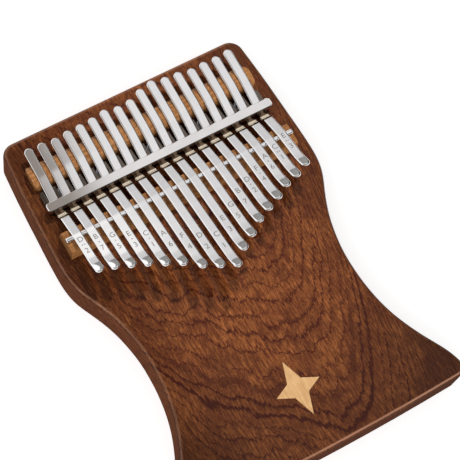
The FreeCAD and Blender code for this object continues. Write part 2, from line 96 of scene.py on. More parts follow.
GAP = 0.03                  # clearance between a tine and what carries it
ROD_Y, ROD_UP, ROD_R = 36.85, 7.0, 1.2
ROD_TOP = ROD_UP + ROD_R + THICK + GAP      # upper side of a tine over the rod
REAR_Y, REAR_UP = 69.04, 5.0                # where a tine rests at the rear
REAR_TOP = REAR_UP + THICK + GAP
SLOPE = 0.195               # fall of the tongue from the rod towards the tip
TAIL_SLOPE = 0.06           # rise of the tail behind its rest
FOOT_Y, FOOT_END_Y, FOOT_UP = 50.2, 57.0, 2.8   # the low flat behind the rod

TIP_LEN, TIP_SLOPE, TIP_STEPS = 8.0, 0.56, 16   # the down-curved tip
TIP_CROWN = 0.10            # height of the crown across the tip
SADDLE = 0.26               # how far the edges sag in the low flat

HALF = WIDTH / 2
END_R = HALF - 0.02         # radius of the rounded ends, seen from above
BEVEL, UNDER = 0.42, 0.15   # edge rounding above, chamfer below


# ---------------------------------------------------------------------------
# Node graphs
# ---------------------------------------------------------------------------
class Graph:
    """Builds shader nodes; every method returns an output socket unless noted."""

    def __init__(self, tree):
        self.tree = tree
        tree.nodes.clear()

    def put(self, socket, value):
        if isinstance(value, bpy.types.NodeSocket):
            self.tree.links.new(value, socket)
        elif socket.type == "RGBA" and len(value) == 3:
            socket.default_value = (*value, 1.0)
        else:
            socket.default_value = value

    def node(self, kind, inputs=None, **settings):
        """Returns the node itself; inputs maps a socket's index or name to its value."""
        node = self.tree.nodes.new(kind)
        for key, value in settings.items():
            setattr(node, key, value)
        for key, value in (inputs or {}).items():
            self.put(node.inputs[key], value)
        return node

    def coord(self):
        return self.node("ShaderNodeTexCoord").outputs["Object"]

    def millimetres(self):
        return self.resize(self.coord(), 1000.0)

    def resize(self, vector, factor):
        inputs = {0: vector, 1: (factor,) * 3}
        return self.node("ShaderNodeVectorMath", inputs, operation="MULTIPLY").outputs[0]

    def split(self, vector):
        return tuple(self.node("ShaderNodeSeparateXYZ", {0: vector}).outputs)

    def join(self, *parts):
        return self.node("ShaderNodeCombineXYZ", dict(enumerate(parts))).outputs[0]

    def math(self, operation, *values, clamp=False):
        node = self.node("ShaderNodeMath", dict(enumerate(values)),
                         operation=operation, use_clamp=clamp)
        return node.outputs[0]

    def add(self, first, *others):
        for other in others:
            first = self.math("ADD", first, other)
        return first

    def mul(self, first, *others):
        for other in others:
            first = self.math("MULTIPLY", first, other)
        return first

    def sub(self, a, b):
        return self.math("SUBTRACT", a, b)

    def centred(self, noise, swing):
        """Noise moved to lie about zero, with the given full swing."""
        return self.mul(self.sub(noise, 0.5), swing)

    def scaled(self, parts, scale, shift=None):
        """Vector of three parts, each times its scale, the first also shifted."""
        def times(part, factor):
            return part if factor == 1 else self.mul(part, factor)

        if shift is None:
            first = times(parts[0], scale[0])
        else:
            first = self.math("MULTIPLY_ADD", parts[0], scale[0], shift)
        return self.join(first, times(parts[1], scale[1]), times(parts[2], scale[2]))

    def noise(self, vector, detail, rough, scale=1.0):
        inputs = {"Vector": vector, "Scale": scale, "Detail": detail, "Roughness": rough}
        return self.node("ShaderNodeTexNoise", inputs).outputs["Fac"]

    def grain(self, point, scale, detail, rough, shift=None):
        """Noise stretched by a scale per axis (cycles per millimetre)."""
        return self.noise(self.scaled(point, scale, shift), detail, rough)

    def ramp(self, factor, stops):
        """stops: (position, grey or RGB colour)."""
        node = self.node("ShaderNodeValToRGB", {0: factor})
        elements = node.color_ramp.elements
        while len(elements) > 1:
            elements.remove(elements[-1])
        for i, (position, colour) in enumerate(stops):
            element = elements.new(position) if i else elements[0]
            element.position = position
            element.color = (*(colour if isinstance(colour, tuple) else (colour,) * 3), 1)
        return node.outputs[0]

    def fade(self, value, over, to=(0.0, 1.0), smooth=False):
        """Maps the range over to the range to, clamped."""
        inputs = {"Value": value, "From Min": over[0], "From Max": over[1],
                  "To Min": to[0], "To Max": to[1]}
        node = self.node("ShaderNodeMapRange", inputs, clamp=True,
                         interpolation_type="SMOOTHSTEP" if smooth else "LINEAR")
        return node.outputs["Result"]

    def rise(self, value, over):
        return self.fade(value, over, smooth=True)

    def fall(self, value, over):
        return self.fade(value, over, to=(1.0, 0.0), smooth=True)

    def mix(self, factor, a, b):
        node = self.node("ShaderNodeMix", {0: factor, 6: a, 7: b},
                         data_type="RGBA", blend_type="MIX")
        return node.outputs[2]

    def layers(self, base, *coats):
        """Lays coats (amount, colour) over a base colour, one after another."""
        for amount, colour in coats:
            base = self.mix(amount, base, colour)
        return base

    def bump(self, height, strength, distance):
        inputs = {"Strength": strength, "Distance": distance, "Height": height}
        return self.node("ShaderNodeBump", inputs).outputs[0]


class Material(Graph):
    def __init__(self, name):
        self.mat = bpy.data.materials.new(name)
        self.mat.use_nodes = True
        super().__init__(self.mat.node_tree)
        output = self.node("ShaderNodeOutputMaterial")
        self.bsdf = self.node("ShaderNodeBsdfPrincipled")
        self.put(output.inputs[0], self.bsdf.outputs[0])

    def surface(self, inputs):
        for key, value in inputs.items():
            self.put(self.bsdf.inputs[key], value)
        return self.mat


def rgb(*channels):
    """sRGB 0-255 to linear."""
    def linear(c):
        c = c / 255.0
        return c / 12.92 if c <= 0.04045 else ((c + 0.055) / 1.055) ** 2.4
    return tuple(linear(c) for c in channels)


# ---------------------------------------------------------------------------
# Materials
# ---------------------------------------------------------------------------
FIGURE_X = 20.0             # axis of the cathedral figure
FIGURE_UP = 6.0             # its height above the playing face
FIGURE_DEPTH = 1.6          # stretch of the figure with depth
FLANK_X, FLANK_BEND = 38.0, 0.12    # beyond this x the contours curve back, this strongly
RING_SPACING = 8.0
LINES_PER_RING = 4.0        # thin lines between the main ones


def growth_lines(m, point, wide, grain):
    """Growth contours: amounts of clustering, of soft shade and of thin line."""
    x, y, z = point
    # noise fine across the fibres and long along them saw-tooths the contours
    jag = grain(scale=(0.95, 0.085, 0.8), detail=3.0, rough=0.72)
    sway = grain(scale=(0.20, 0.035, 0.2), shift=11.0, detail=2.0, rough=0.6)
    along = m.add(y, m.centred(jag, swing=7.5), m.centred(sway, swing=9.0),
                  m.centred(wide, swing=26.0))
    # cathedral figure: V contours with their points towards the player
    across = m.add(m.sub(x, FIGURE_X), m.centred(wide, swing=14.0))
    depth = m.mul(m.sub(TOP + FIGURE_UP, z), FIGURE_DEPTH)
    radius = m.math("SQRT", m.add(m.mul(across, across), m.mul(depth, depth)))
    steepness = m.fade(across, over=(-12.0, 16.0), to=(0.80, 1.85), smooth=True)
    flank = m.math("MAXIMUM", m.sub(m.math("ABSOLUTE", x), FLANK_X), 0.0)
    contour = m.sub(m.sub(along, m.mul(radius, steepness)), m.mul(flank, flank, FLANK_BEND))
    # the spacing varies slowly from contour to contour
    uneven = m.noise(m.join(m.mul(contour, 0.09), 3.0, 0.0), detail=2.0, rough=0.6)
    phase = m.add(m.mul(contour, 1.0 / RING_SPACING), m.mul(uneven, 2.0))
    # kept positive before its fraction is taken
    ring = m.math("FRACT", m.add(phase, 100.0))
    # a soft dark shade that ends in a thin line
    shade = m.ramp(ring, [(0.0, 0.0), (0.30, 0.0), (0.66, 0.55),
                          (0.72, 0.60), (0.80, 0.12), (1.0, 0.0)])
    line = m.ramp(ring, [(0.0, 0.0), (0.665, 0.0), (0.70, 1.0),
                         (0.785, 1.0), (0.82, 0.0), (1.0, 0.0)])
    fine_ring = m.math("FRACT", m.add(m.mul(phase, LINES_PER_RING), 0.35))
    fine_line = m.ramp(fine_ring, [(0.0, 0.0), (0.60, 0.0), (0.74, 1.0), (0.86, 0.0), (1.0, 0.0)])
    # the fine lines gather in patches, and the main ones weaken in places
    patch = grain(scale=(0.055, 0.040, 0.05), shift=21.0, detail=3.0, rough=0.6)
    cluster = m.fade(patch, over=(0.42, 0.56), to=(0.10, 1.0), smooth=True)
    fine_line = m.mul(fine_line, m.mul(cluster, 0.85))
    gate = grain(scale=(0.05, 0.06, 0.05), shift=31.0, detail=3.0, rough=0.6)
    line = m.mul(line, m.fade(gate, over=(0.26, 0.42), to=(0.55, 1.0)))
    shade = m.mul(shade, m.fade(gate, over=(0.36, 0.62), to=(0.15, 0.85)))
    return cluster, shade, m.math("MAXIMUM", line, fine_line)


def edge_darkening(m, point, wide):
    """Darker towards the sides and the player's end."""
    x, y, z = point
    near = m.fade(y, over=(-30.0, -85.0), to=(0.0, 0.45))
    out = m.mul(m.sub(x, 5.0), 1.0 / 60.0)
    out = m.mul(out, out, 0.45)
    deep = m.math("ADD", m.add(near, out), m.centred(wide, swing=0.22), clamp=True)
    return m.math("MINIMUM", deep, 0.75)


def board_wood():
    m = Material("figured_hardwood")
    point = m.split(m.millimetres())

    def grain(scale, detail, rough, shift=0.0):
        return m.grain(point, scale, detail, rough, shift)

    wide = grain(scale=(0.030, 0.022, 0.03), shift=5.0, detail=2.0, rough=0.5)
    cluster, shade, line = growth_lines(m, point, wide, grain)
    # fibres, flecks and pores along y
    fibre = grain(scale=(1.15, 0.13, 1.15), detail=4.0, rough=0.78)
    fine = grain(scale=(4.6, 0.55, 4.6), shift=7.0, detail=2.0, rough=0.6)
    fleck = grain(scale=(0.80, 0.30, 0.80), shift=17.0, detail=4.0, rough=0.80)
    mottle = grain(scale=(0.20, 0.11, 0.20), shift=57.0, detail=4.0, rough=0.70)
    pore = m.fade(grain(scale=(3.2, 0.26, 3.2), shift=3.0, detail=2.0, rough=0.5),
                  over=(0.57, 0.66))
    glint = m.fade(grain(scale=(3.0, 0.9, 3.0), shift=41.0, detail=1.0, rough=0.5),
                   over=(0.66, 0.74))

    # painted highlight where the rounded edge starts, strongest on the player's side and faint on
    # the right; the walls get a lighter plain even brown as painted light, with painted shade on
    # the walls facing the player and on the rounding on the right
    nx, ny, nz = m.split(m.node("ShaderNodeNewGeometry").outputs["True Normal"])
    edge_highlight = m.mul(m.rise(nz, over=(0.72, 0.84)), m.fall(nz, over=(0.96, 0.995)))
    edge_highlight = m.mul(edge_highlight, m.mul(m.fade(ny, over=(-0.10, -0.34), to=(0.42, 1.0)),
                           m.fade(nx, over=(0.05, 0.25), to=(1.0, 0.12))))
    # painted shade on the walls that face the player
    player = m.fall(ny, over=(-0.80, -0.20))
    # painted shade on the rounding of the right side
    right = m.mul(m.fade(nz, over=(0.80, 0.99), to=(1.0, 0.0)), m.rise(nx, over=(0.05, 0.30)))
    wall = m.fall(nz, over=(0.25, 0.70))
    # painted light: the walls are mixed towards a lighter plain brown
    lit_wall_brown = m.mix(m.fade(fibre, over=(0.35, 0.65)), rgb(104, 60, 42), rgb(140, 88, 64))

    base = m.layers(
        m.mix(m.fade(fibre, over=(0.40, 0.61)), rgb(104, 52, 25), rgb(176, 106, 56)),
        (m.fade(mottle, over=(0.36, 0.54), to=(0.42, 0.0)), rgb(82, 40, 20)),
        (m.fade(fleck, over=(0.40, 0.56), to=(0.50, 0.0)), rgb(70, 31, 14)),
        (m.mul(cluster, 0.38), rgb(88, 42, 21)),
        (m.mul(shade, 0.60), rgb(76, 28, 16)),
        (m.mul(line, 0.94), rgb(60, 17, 11)),
        (m.mul(pore, 0.60), rgb(52, 21, 10)),
        (m.mul(glint, 0.25), rgb(190, 124, 74)),
        (m.fade(fine, over=(0.35, 0.65), to=(0.22, 0.0)), rgb(52, 24, 14)),
        # darker towards the sides and the player's end
        (edge_darkening(m, point, wide), (0.016, 0.0045, 0.0018)),
        # painted light: lighter plain brown on the walls
        (m.mul(wall, 0.50), lit_wall_brown),
        # painted shade on the walls facing the player
        (m.mul(wall, m.mul(player, 0.66)), rgb(44, 24, 18)),
        # painted shade on the rounding of the right side
        (m.mul(right, 0.55), (0.020, 0.0070, 0.0032)),
        # painted highlight where the rounded edge starts
        (m.mul(edge_highlight, m.fade(wide, over=(0.35, 0.65), to=(0.36, 0.56))), rgb(190, 140, 112)))
    relief = m.add(m.mul(fibre, 0.5), m.mul(pore, -0.6))
    return m.surface({
        "Base Color": base,
        "Roughness": m.fade(fibre, over=(0.2, 0.8), to=(0.40, 0.55)),
        "Specular IOR Level": m.fade(nz, over=(0.25, 0.70), to=(0.0, 0.06)),
        "Coat Weight": m.fade(nz, over=(0.25, 0.95), to=(0.015, 0.50)),
        "Coat Roughness": 0.05,
        "Coat IOR": 1.30,
        "Normal": m.bump(relief, strength=0.15, distance=0.0002),
        "Coat Normal": m.bump(relief, strength=0.015, distance=0.0001)})


def bridge_wood():
    m = Material("bridge_hardwood")
    point = m.split(m.millimetres())
    figure = m.grain(point, scale=(0.09, 0.9, 0.9), detail=5.0, rough=0.6)
    streak = m.grain(point, scale=(0.35, 3.0, 3.0), detail=3.0, rough=0.6)
    ray = m.grain(point, scale=(1.6, 0.5, 0.5), detail=3.0, rough=0.6)
    base = m.layers(
        m.ramp(figure, [(0.25, rgb(124, 78, 42)), (0.5, rgb(164, 112, 66)),
                        (0.75, rgb(194, 142, 92))]),
        (m.fade(ray, over=(0.40, 0.62), to=(0.35, 0.0)), rgb(96, 58, 32)),
        (m.fade(streak, over=(0.52, 0.72), to=(0.0, 0.6)), rgb(92, 54, 28)))
    return m.surface({
        "Base Color": base,
        "Roughness": m.fade(streak, over=(0.3, 0.7), to=(0.38, 0.52)),
        "Specular IOR Level": 0.15,
        "Coat Weight": 0.3,
        "Coat Roughness": 0.2,
        "Coat IOR": 1.35,
        "Normal": m.bump(streak, strength=0.2, distance=0.0002)})


def inlay_wood():
    m = Material("inlay_maple")
    point = m.split(m.millimetres())
    fibre = m.grain(point, scale=(1.2, 0.12, 1), detail=5.0, rough=0.6)
    cross = m.grain(point, scale=(0.1, 0.35, 1), detail=2.0, rough=0.5)
    base = m.layers(
        m.ramp(fibre, [(0.3, rgb(184, 140, 90)), (0.55, rgb(206, 162, 110)),
                       (0.8, rgb(220, 182, 132))]),
        (m.fade(cross, over=(0.4, 0.7), to=(0.0, 0.3)), rgb(176, 130, 82)))
    return m.surface({
        "Base Color": base,
        "Roughness": m.fade(fibre, over=(0.3, 0.7), to=(0.32, 0.42)),
        "Coat Weight": 0.4,
        "Coat Roughness": 0.1,
        "Normal": m.bump(fibre, strength=0.1, distance=0.0001)})


# noise scale of the brushing, by the axis it runs along
BRUSHING = {"x": (0.06, 2.2, 2.2), "y": (2.2, 0.06, 0.8)}


def metal(name, tint, rough, along, foot_reflections=False):
    """Polished steel: very fine brushing, faint smudges and a few hairline scratches.
    When asked for, the bend and the low flat behind the rod get a painted dark reflection and a
    painted cream highlight."""
    m = Material(name)
    point = x, y, z = m.split(m.millimetres())
    brushed = m.scaled(point, BRUSHING[along])
    brush = m.noise(brushed, detail=3.0, rough=0.6)
    hair = m.fade(m.noise(m.resize(brushed, 2.2), detail=1.0, rough=0.5), over=(0.66, 0.70))
    smudge = m.grain(point, scale=(0.12, 0.08, 1), detail=3.0, rough=0.5)
    duller = tuple(channel * 0.95 for channel in tint)
    base = m.mix(m.fade(smudge, over=(0.35, 0.65)), duller, tint)
    roughness = m.add(m.fade(brush, over=(0.3, 0.7), to=(rough * 0.7, rough * 1.3)),
                      m.fade(smudge, over=(0.50, 0.75), to=(0.0, 0.03)),
                      m.mul(hair, 0.04))
    m.surface({"Metallic": 1.0})
    if foot_reflections:
        # painted reflections: a dark band over the bend and the low flat behind the rod, and a
        # cream highlight on the bend down to the low flat
        place = m.add(y, m.fade(smudge, over=(0.3, 0.7), to=(-0.12, 0.12)))
        dark = m.mul(m.rise(place, over=(47.55, 47.95)), m.fall(place, over=(56.0, 57.5)))
        cream_highlight = m.mul(m.rise(place, over=(48.55, 48.95)), m.fall(place, over=(50.35, 50.75)))
        base = m.layers(base, (dark, (0.17, 0.115, 0.075)), (cream_highlight, (0.90, 0.79, 0.62)))
        # the painted cream highlight is rougher and less metallic
        roughness = m.add(roughness, m.mul(cream_highlight, 0.22))
        m.surface({"Metallic": m.sub(1.0, m.mul(cream_highlight, 0.60))})
    return m.surface({
        "Base Color": base,
        "Roughness": roughness,
        "Normal": m.bump(brush, strength=0.02, distance=0.00003)})


def etched_steel():
    """Floor of the engraved note marks."""
    m = Material("etched_marks")
    speckle = m.noise(m.millimetres(), scale=6.0, detail=2.0, rough=0.6)
    return m.surface({
        "Base Color": m.mix(speckle, rgb(128, 127, 126), rgb(168, 166, 164)),
        "Metallic": 0.7,
        "Roughness": m.fade(speckle, over=(0.3, 0.7), to=(0.45, 0.65)),
        "Normal": m.bump(speckle, strength=0.2, distance=0.00005)})


def floor_paper():
    m = Material("floor_paper")
    speckle = m.noise(m.coord(), scale=900.0, detail=3.0, rough=0.6)
    return m.surface({
        "Base Color": m.mix(speckle, (0.90, 0.90, 0.90), (0.94, 0.94, 0.94)),
        "Roughness": 0.9,
        "Specular IOR Level": 0.1,
        "Emission Color": (1.0, 1.0, 1.0),
        "Emission Strength": 0.66,
        "Normal": m.bump(speckle, strength=0.05, distance=0.0001)})


BOARD = board_wood()
BRIDGE = bridge_wood()
INLAY = inlay_wood()
# the tine steel carries the painted dark reflection and cream highlight behind the rod
TINE = metal("polished_tine_steel", tint=(0.93, 0.925, 0.925), rough=0.045, along="y", foot_reflections=True)
BAR = metal("polished_bar_steel", tint=(0.93, 0.915, 0.90), rough=0.04, along="x")
ROD = metal("polished_rod_steel", tint=(0.94, 0.94, 0.94), rough=0.04, along="x")
PLATE = metal("polished_plate_steel", tint=(0.17, 0.14, 0.12), rough=0.10, along="x")
SCREW = metal("screw_steel", tint=(0.20, 0.21, 0.24), rough=0.16, along="y")
ETCH = etched_steel()


# ---------------------------------------------------------------------------
# Mesh helpers
# ---------------------------------------------------------------------------
def shade_smooth(mesh, sharp_angle):
    for polygon in mesh.polygons:
        polygon.use_smooth = True
    mesh.set_sharp_from_angle(angle=math.radians(sharp_angle))


def make_object(name, bm, materials, sharp_angle):
    mesh = bpy.data.meshes.new(name)
    bmesh.ops.recalc_face_normals(bm, faces=bm.faces)
    bm.to_mesh(mesh)
    bm.free()
    for material in materials:
        mesh.materials.append(material)
    shade_smooth(mesh, sharp_angle)
    ob = bpy.data.objects.new(name, mesh)
    objects.link(ob)
    return ob


def loft(bm, rings):
    """Closed solid through closed loops with the same number of points."""
    loops = [[bm.verts.new(point) for point in ring] for ring in rings]
    count = len(rings[0])
    for a, b in zip(loops[:-1], loops[1:]):
        for i in range(count):
            j = (i + 1) % count
            bm.faces.new((a[i], a[j], b[j], b[i]))
    bm.faces.new(loops[0][::-1])
    bm.faces.new(loops[-1])


# ---------------------------------------------------------------------------
# Tines: one continuous strip each
# ---------------------------------------------------------------------------
CORNER_STEPS = 5
STATION_STEP = 1.6          # longest distance between stations along a tine
END_ANGLES = [0, 9, 18, 27, 36, 46, 56, 67, 78, 90]     # degrees round a rounded end
ACROSS = [1.0, 0.93, 0.55, 0.0, -0.55, -0.93, -1.0]     # points across the upper side
COS_30, COS_60 = (math.cos(math.radians(angle)) for angle in (30, 60))
# rows from the rim down: (height against the upper side, inset from the outline)
LEVELS = [(0.0, BEVEL), (-BEVEL * (1 - COS_30), BEVEL * (1 - COS_60)),
          (-BEVEL * (1 - COS_60), BEVEL * (1 - COS_30)), (-BEVEL, 0.0),
          (-(THICK - UNDER), 0.0), (-THICK, UNDER)]
SAG_SHARE = (1.0, 1.0, 1.0, 0.0, 0.0)   # how far each row below the rim follows the sag
MIN_HALF = 0.003            # half width left at the very ends

Row = namedtuple("Row", "y up half normal along")


def tongue_up(y):
    """Upper side of the straight part in front of the rod."""
    return ROD_TOP + (ROD_Y - y) * SLOPE


def round_corners(rows):
    """Polyline (y, up) through rows of (y, up, length rounded off each side of the corner)."""
    points = [row[:2] for row in rows]
    out = [points[0]]
    for i in range(1, len(rows) - 1):
        corner = Vector(points[i])
        reach = rows[i][2]
        if reach <= 0:
            out.append(tuple(corner))
            continue
        before, after = Vector(points[i - 1]) - corner, Vector(points[i + 1]) - corner
        start = corner + before.normalized() * min(reach, before.length * 0.45)
        end = corner + after.normalized() * min(reach, after.length * 0.45)
        for k in range(CORNER_STEPS + 1):
            u = k / CORNER_STEPS
            out.append(tuple(start * (1 - u) ** 2 + corner * 2 * u * (1 - u) + end * u * u))
    out.append(points[-1])
    return out


def tine_profile(k):
    """Upper side of tine k from tip to tail: list of (y, up)."""
    tail = TAIL_Y[k]
    curve_y = TIP_Y[k] + TIP_LEN
    up = tongue_up(curve_y)
    curve = [(curve_y, up, 0)]
    for i in range(TIP_STEPS):
        u = (i + 0.5) / TIP_STEPS
        slope = SLOPE + (TIP_SLOPE - SLOPE) * (1.0 - (1.0 - u) ** 2)
        up += slope * TIP_LEN / TIP_STEPS
        curve.append((curve_y - TIP_LEN * (i + 1) / TIP_STEPS, up, 0))
    # (y, up, rounding)
    rest = [(ROD_Y - 0.6, tongue_up(ROD_Y - 0.6), 0.5),
            (ROD_Y + 0.6, ROD_TOP - 0.04, 0.5),
            (47.95, 5.1, 0.30),
            (FOOT_Y, FOOT_UP, 0.55),
            (FOOT_END_Y, FOOT_UP, 0.8),
            (REAR_Y, REAR_TOP, 1.2),
            (tail, REAR_TOP + (tail - REAR_Y) * TAIL_SLOPE, 0)]
    return round_corners(curve[::-1] + rest)


def distance(a, b):
    return math.hypot(b[0] - a[0], b[1] - a[1])


def between(a, b, u):
    return (a[0] + (b[0] - a[0]) * u, a[1] + (b[1] - a[1]) * u)


def resample(chain, step):
    out = [chain[0]]
    for a, b in zip(chain[:-1], chain[1:]):
        count = max(1, int(math.ceil(distance(a, b) / step)))
        out += [between(a, b, i / count) for i in range(1, count + 1)]
    return out


class Path:
    """A polyline (y, up) with its arc lengths and upward normals."""

    def __init__(self, chain):
        self.chain = chain
        self.arcs = [0.0]
        for a, b in zip(chain[:-1], chain[1:]):
            self.arcs.append(self.arcs[-1] + distance(a, b))
        self.length = self.arcs[-1]
        self.normals = []
        last = len(chain) - 1
        for i in range(len(chain)):
            a, b = chain[max(0, i - 1)], chain[min(last, i + 1)]
            span = distance(a, b)
            self.normals.append((-(b[1] - a[1]) / span, (b[0] - a[0]) / span))

    def at(self, along):
        """Point and unit normal at an arc length."""
        along = min(max(along, 0.0), self.length)
        arcs = self.arcs
        for i in range(len(arcs) - 1):
            if arcs[i + 1] >= along:
                span = arcs[i + 1] - arcs[i]
                u = (along - arcs[i]) / span if span > 0 else 0.0
                point = between(self.chain[i], self.chain[i + 1], u)
                normal = between(self.normals[i], self.normals[i + 1], u)
                size = math.hypot(*normal)
                return point, (normal[0] / size, normal[1] / size)
        return self.chain[-1], self.normals[-1]


def tine_stations(path):
    """(kind, value): an angle round each rounded end, or an arc length in between."""
    stations = [("tip", math.radians(angle)) for angle in END_ANGLES]
    last = END_R
    for along in path.arcs:
        if END_R + 0.25 < along < path.length - END_R - 0.25 and along - last > 0.05:
            stations.append(("mid", along))
            last = along
    return stations + [("tail", math.radians(angle)) for angle in END_ANGLES[::-1]]


def station_rows(path, kind, value):
    rows = []
    for level, inset in LEVELS:
        if kind == "mid":
            along, half = value, HALF - inset
        else:
            radius = END_R - inset
            along = inset + radius * (1 - math.cos(value))
            half = (HALF - END_R) * min(1.0, value) + radius * math.sin(value)
            half = max(half, MIN_HALF)
            if kind == "tail":
                along = path.length - along
        (y, up), normal = path.at(along)
        rows.append(Row(y + normal[0] * level, up + normal[1] * level, half, normal, along))
    return rows


def cross_section(x0, rows):
    """Loop over the upper side from right to left, down the left edge and up the right."""
    def point(row, side, lift):
        return Vector(((x0 + row.half * side) * MM, (row.y + row.normal[0] * lift) * MM,
                       (TOP + row.up + row.normal[1] * lift) * MM))

    rim = rows[0]
    # a slight crown across the curved tip
    crown = TIP_CROWN * (1.0 - rim.along / TIP_LEN) ** 0.7 if rim.along < TIP_LEN else 0.0
    # the saddle that a sharp bend leaves in the low flat
    ease = (min(max((rim.y - FOOT_Y - 0.6) / 0.7, 0.0), 1.0)
            * min(max((54.6 - rim.y) / 1.4, 0.0), 1.0))
    sag = SADDLE * ease * ease * (3 - 2 * ease)
    fullness = min(1.0, rim.half / (HALF - BEVEL))
    ring = [point(rim, a, crown * (1 - a * a) * fullness - sag * abs(a) ** 2.2) for a in ACROSS]
    edge = list(zip(rows[1:], SAG_SHARE))
    ring += [point(row, -1, -sag * share) for row, share in edge]
    ring += [point(row, 1, -sag * share) for row, share in edge[::-1]]
    return ring


def build_tine(k):
    path = Path(resample(tine_profile(k), STATION_STEP))
    x0 = (k - MIDDLE) * PITCH
    bm = bmesh.new()
    loft(bm, [cross_section(x0, station_rows(path, *station)) for station in tine_stations(path)])
    bmesh.ops.remove_doubles(bm, verts=bm.verts, dist=0.000012)
    bmesh.ops.dissolve_degenerate(bm, edges=bm.edges, dist=0.000004)
    return make_object("tine_%02d" % (k + 1), bm, [TINE, ETCH], sharp_angle=40)


# ---------------------------------------------------------------------------
# Note marks engraved in the tongues
# ---------------------------------------------------------------------------
# (letter, octave dots, number of the degree), from the leftmost tine
MARKS = [("D", 2, "2"), ("B", 1, "7"), ("G", 1, "5"), ("E", 1, "3"), ("C", 1, "1"), ("A", 0, "6"),
         ("F", 0, "4"), ("D", 0, "2"), ("C", 0, "1"), ("E", 0, "3"), ("G", 0, "5"), ("B", 0, "7"),
         ("D", 1, "2"), ("F", 1, "4"), ("A", 1, "6"), ("C", 2, "1"), ("E", 2, "3")]
CUT = 0.07                  # depth of the engraving
CUTTER_HALF = 0.5           # half the thickness of the cutting solids
GLYPH_SIZE = 3.7
LETTER_UP_SLOPE, DOTS_UP_SLOPE = 6.3, 3.2   # places above the number, along the tongue
NUMBER_FROM_TIP = 12.03
DOT_R, DOT_SPACING, DOT_SIDES = 0.28, 1.0, 14


def glyph_mesh(text):
    curve = bpy.data.curves.new("glyph", "FONT")
    curve.body = text
    curve.size = GLYPH_SIZE
    curve.extrude = CUTTER_HALF
    curve.resolution_u = 3
    curve.offset = -0.01
    ob = bpy.data.objects.new("glyph", curve)
    objects.link(ob)
    bpy.context.view_layer.update()
    mesh = bpy.data.meshes.new_from_object(ob)
    bpy.data.objects.remove(ob)
    bpy.data.curves.remove(curve)
    return mesh


def add_glyph(bm, text, y):
    """Adds a closed solid of one character, centred at (0, y)."""
    mesh = glyph_mesh(text)
    xs = [v.co.x for v in mesh.vertices]
    ys = [v.co.y for v in mesh.vertices]
    middle_x, middle_y = (min(xs) + max(xs)) / 2, (min(ys) + max(ys)) / 2
    part = bmesh.new()
    part.from_mesh(mesh)
    bmesh.ops.remove_doubles(part, verts=part.verts, dist=1e-5)
    copies = {v: bm.verts.new((v.co.x - middle_x, v.co.y - middle_y + y, v.co.z))
              for v in part.verts}
    for face in part.faces:
        # merging vertices may leave two faces on the same ones; the second is skipped
        try:
            bm.faces.new([copies[v] for v in face.verts])
        except ValueError:
            pass
    part.free()
    bpy.data.meshes.remove(mesh)


def add_dot(bm, x, y):
    angles = [i * math.pi / (DOT_SIDES / 2) for i in range(DOT_SIDES)]
    low = [bm.verts.new((x + DOT_R * math.cos(a), y + DOT_R * math.sin(a), -CUTTER_HALF))
           for a in angles]
    high = [bm.verts.new((v.co.x, v.co.y, CUTTER_HALF)) for v in low]
    bm.faces.new(low[::-1])
    bm.faces.new(high)
    for i in range(DOT_SIDES):
        j = (i + 1) % DOT_SIDES
        bm.faces.new((low[i], low[j], high[j], high[i]))


def mark_cutter(k):
    letter, dots, number = MARKS[k]
    bm = bmesh.new()
    add_glyph(bm, letter, LETTER_UP_SLOPE)
    for i in range(dots):
        add_dot(bm, (i - (dots - 1) / 2) * DOT_SPACING, DOTS_UP_SLOPE)
    add_glyph(bm, number, 0.0)
    # local frame on the tongue: x across, y along it towards the rod, z out of the steel
    size = math.hypot(1.0, SLOPE)
    along = Vector((0, 1 / size, -SLOPE / size))
    outward = Vector((0, SLOPE / size, 1 / size))
    y = TIP_Y[k] + NUMBER_FROM_TIP
    origin = Vector(((k - MIDDLE) * PITCH, y, TOP + tongue_up(y))) + outward * (CUTTER_HALF - CUT)
    for v in bm.verts:
        v.co = (origin + Vector((v.co.x, 0, 0)) + along * v.co.y + outward * v.co.z) * MM
    for face in bm.faces:
        face.material_index = 1
    bmesh.ops.recalc_face_normals(bm, faces=bm.faces)
    mesh = bpy.data.meshes.new("cutter")
    bm.to_mesh(mesh)
    bm.free()
    mesh.materials.append(TINE)
    mesh.materials.append(ETCH)
    cutter = bpy.data.objects.new("cutter", mesh)
    objects.link(cutter)
    return cutter


def engrave(ob, k):
    cutter = mark_cutter(k)
    cutter_mesh = cutter.data
    cut = ob.modifiers.new("marks", "BOOLEAN")
    cut.operation = "DIFFERENCE"
    cut.solver = "EXACT"
    cut.material_mode = "INDEX"
    cut.use_self = MARKS[k][2] == "4"       # its strokes cross
    cut.object = cutter
    bpy.context.view_layer.update()
    evaluated = ob.evaluated_get(bpy.context.evaluated_depsgraph_get())
    engraved = bpy.data.meshes.new_from_object(evaluated)
    ob.modifiers.remove(cut)
    plain = ob.data
    ob.data = engraved
    bpy.data.meshes.remove(plain)
    bpy.data.objects.remove(cutter)
    bpy.data.meshes.remove(cutter_mesh)
    shade_smooth(engraved, sharp_angle=40)


for k in range(COUNT):
    tine = build_tine(k)
    engrave(tine, k)
    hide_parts("tine_%02d_root" % (k + 1), "tine_%02d_tongue" % (k + 1))
    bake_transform(tine)

# ---------------------------------------------------------------------------
# CAD nodes that stay, with their finishes
# ---------------------------------------------------------------------------
FINISHES = {
    "sound_board": BOARD,
    "rear_bridge": BRIDGE,
    "front_bridge": BRIDGE,
    "bridge_rod": ROD,
    "base_plate": PLATE,
    "pressure_bar": BAR,
    "plate_screws": SCREW,
    "bar_screws": SCREW,
    "star_inlay": INLAY,
}
for name, material in FINISHES.items():
    mesh = frame["nodes"][name].data
    mesh.materials.clear()
    mesh.materials.append(material)
    for polygon in mesh.polygons:
        polygon.material_index = 0


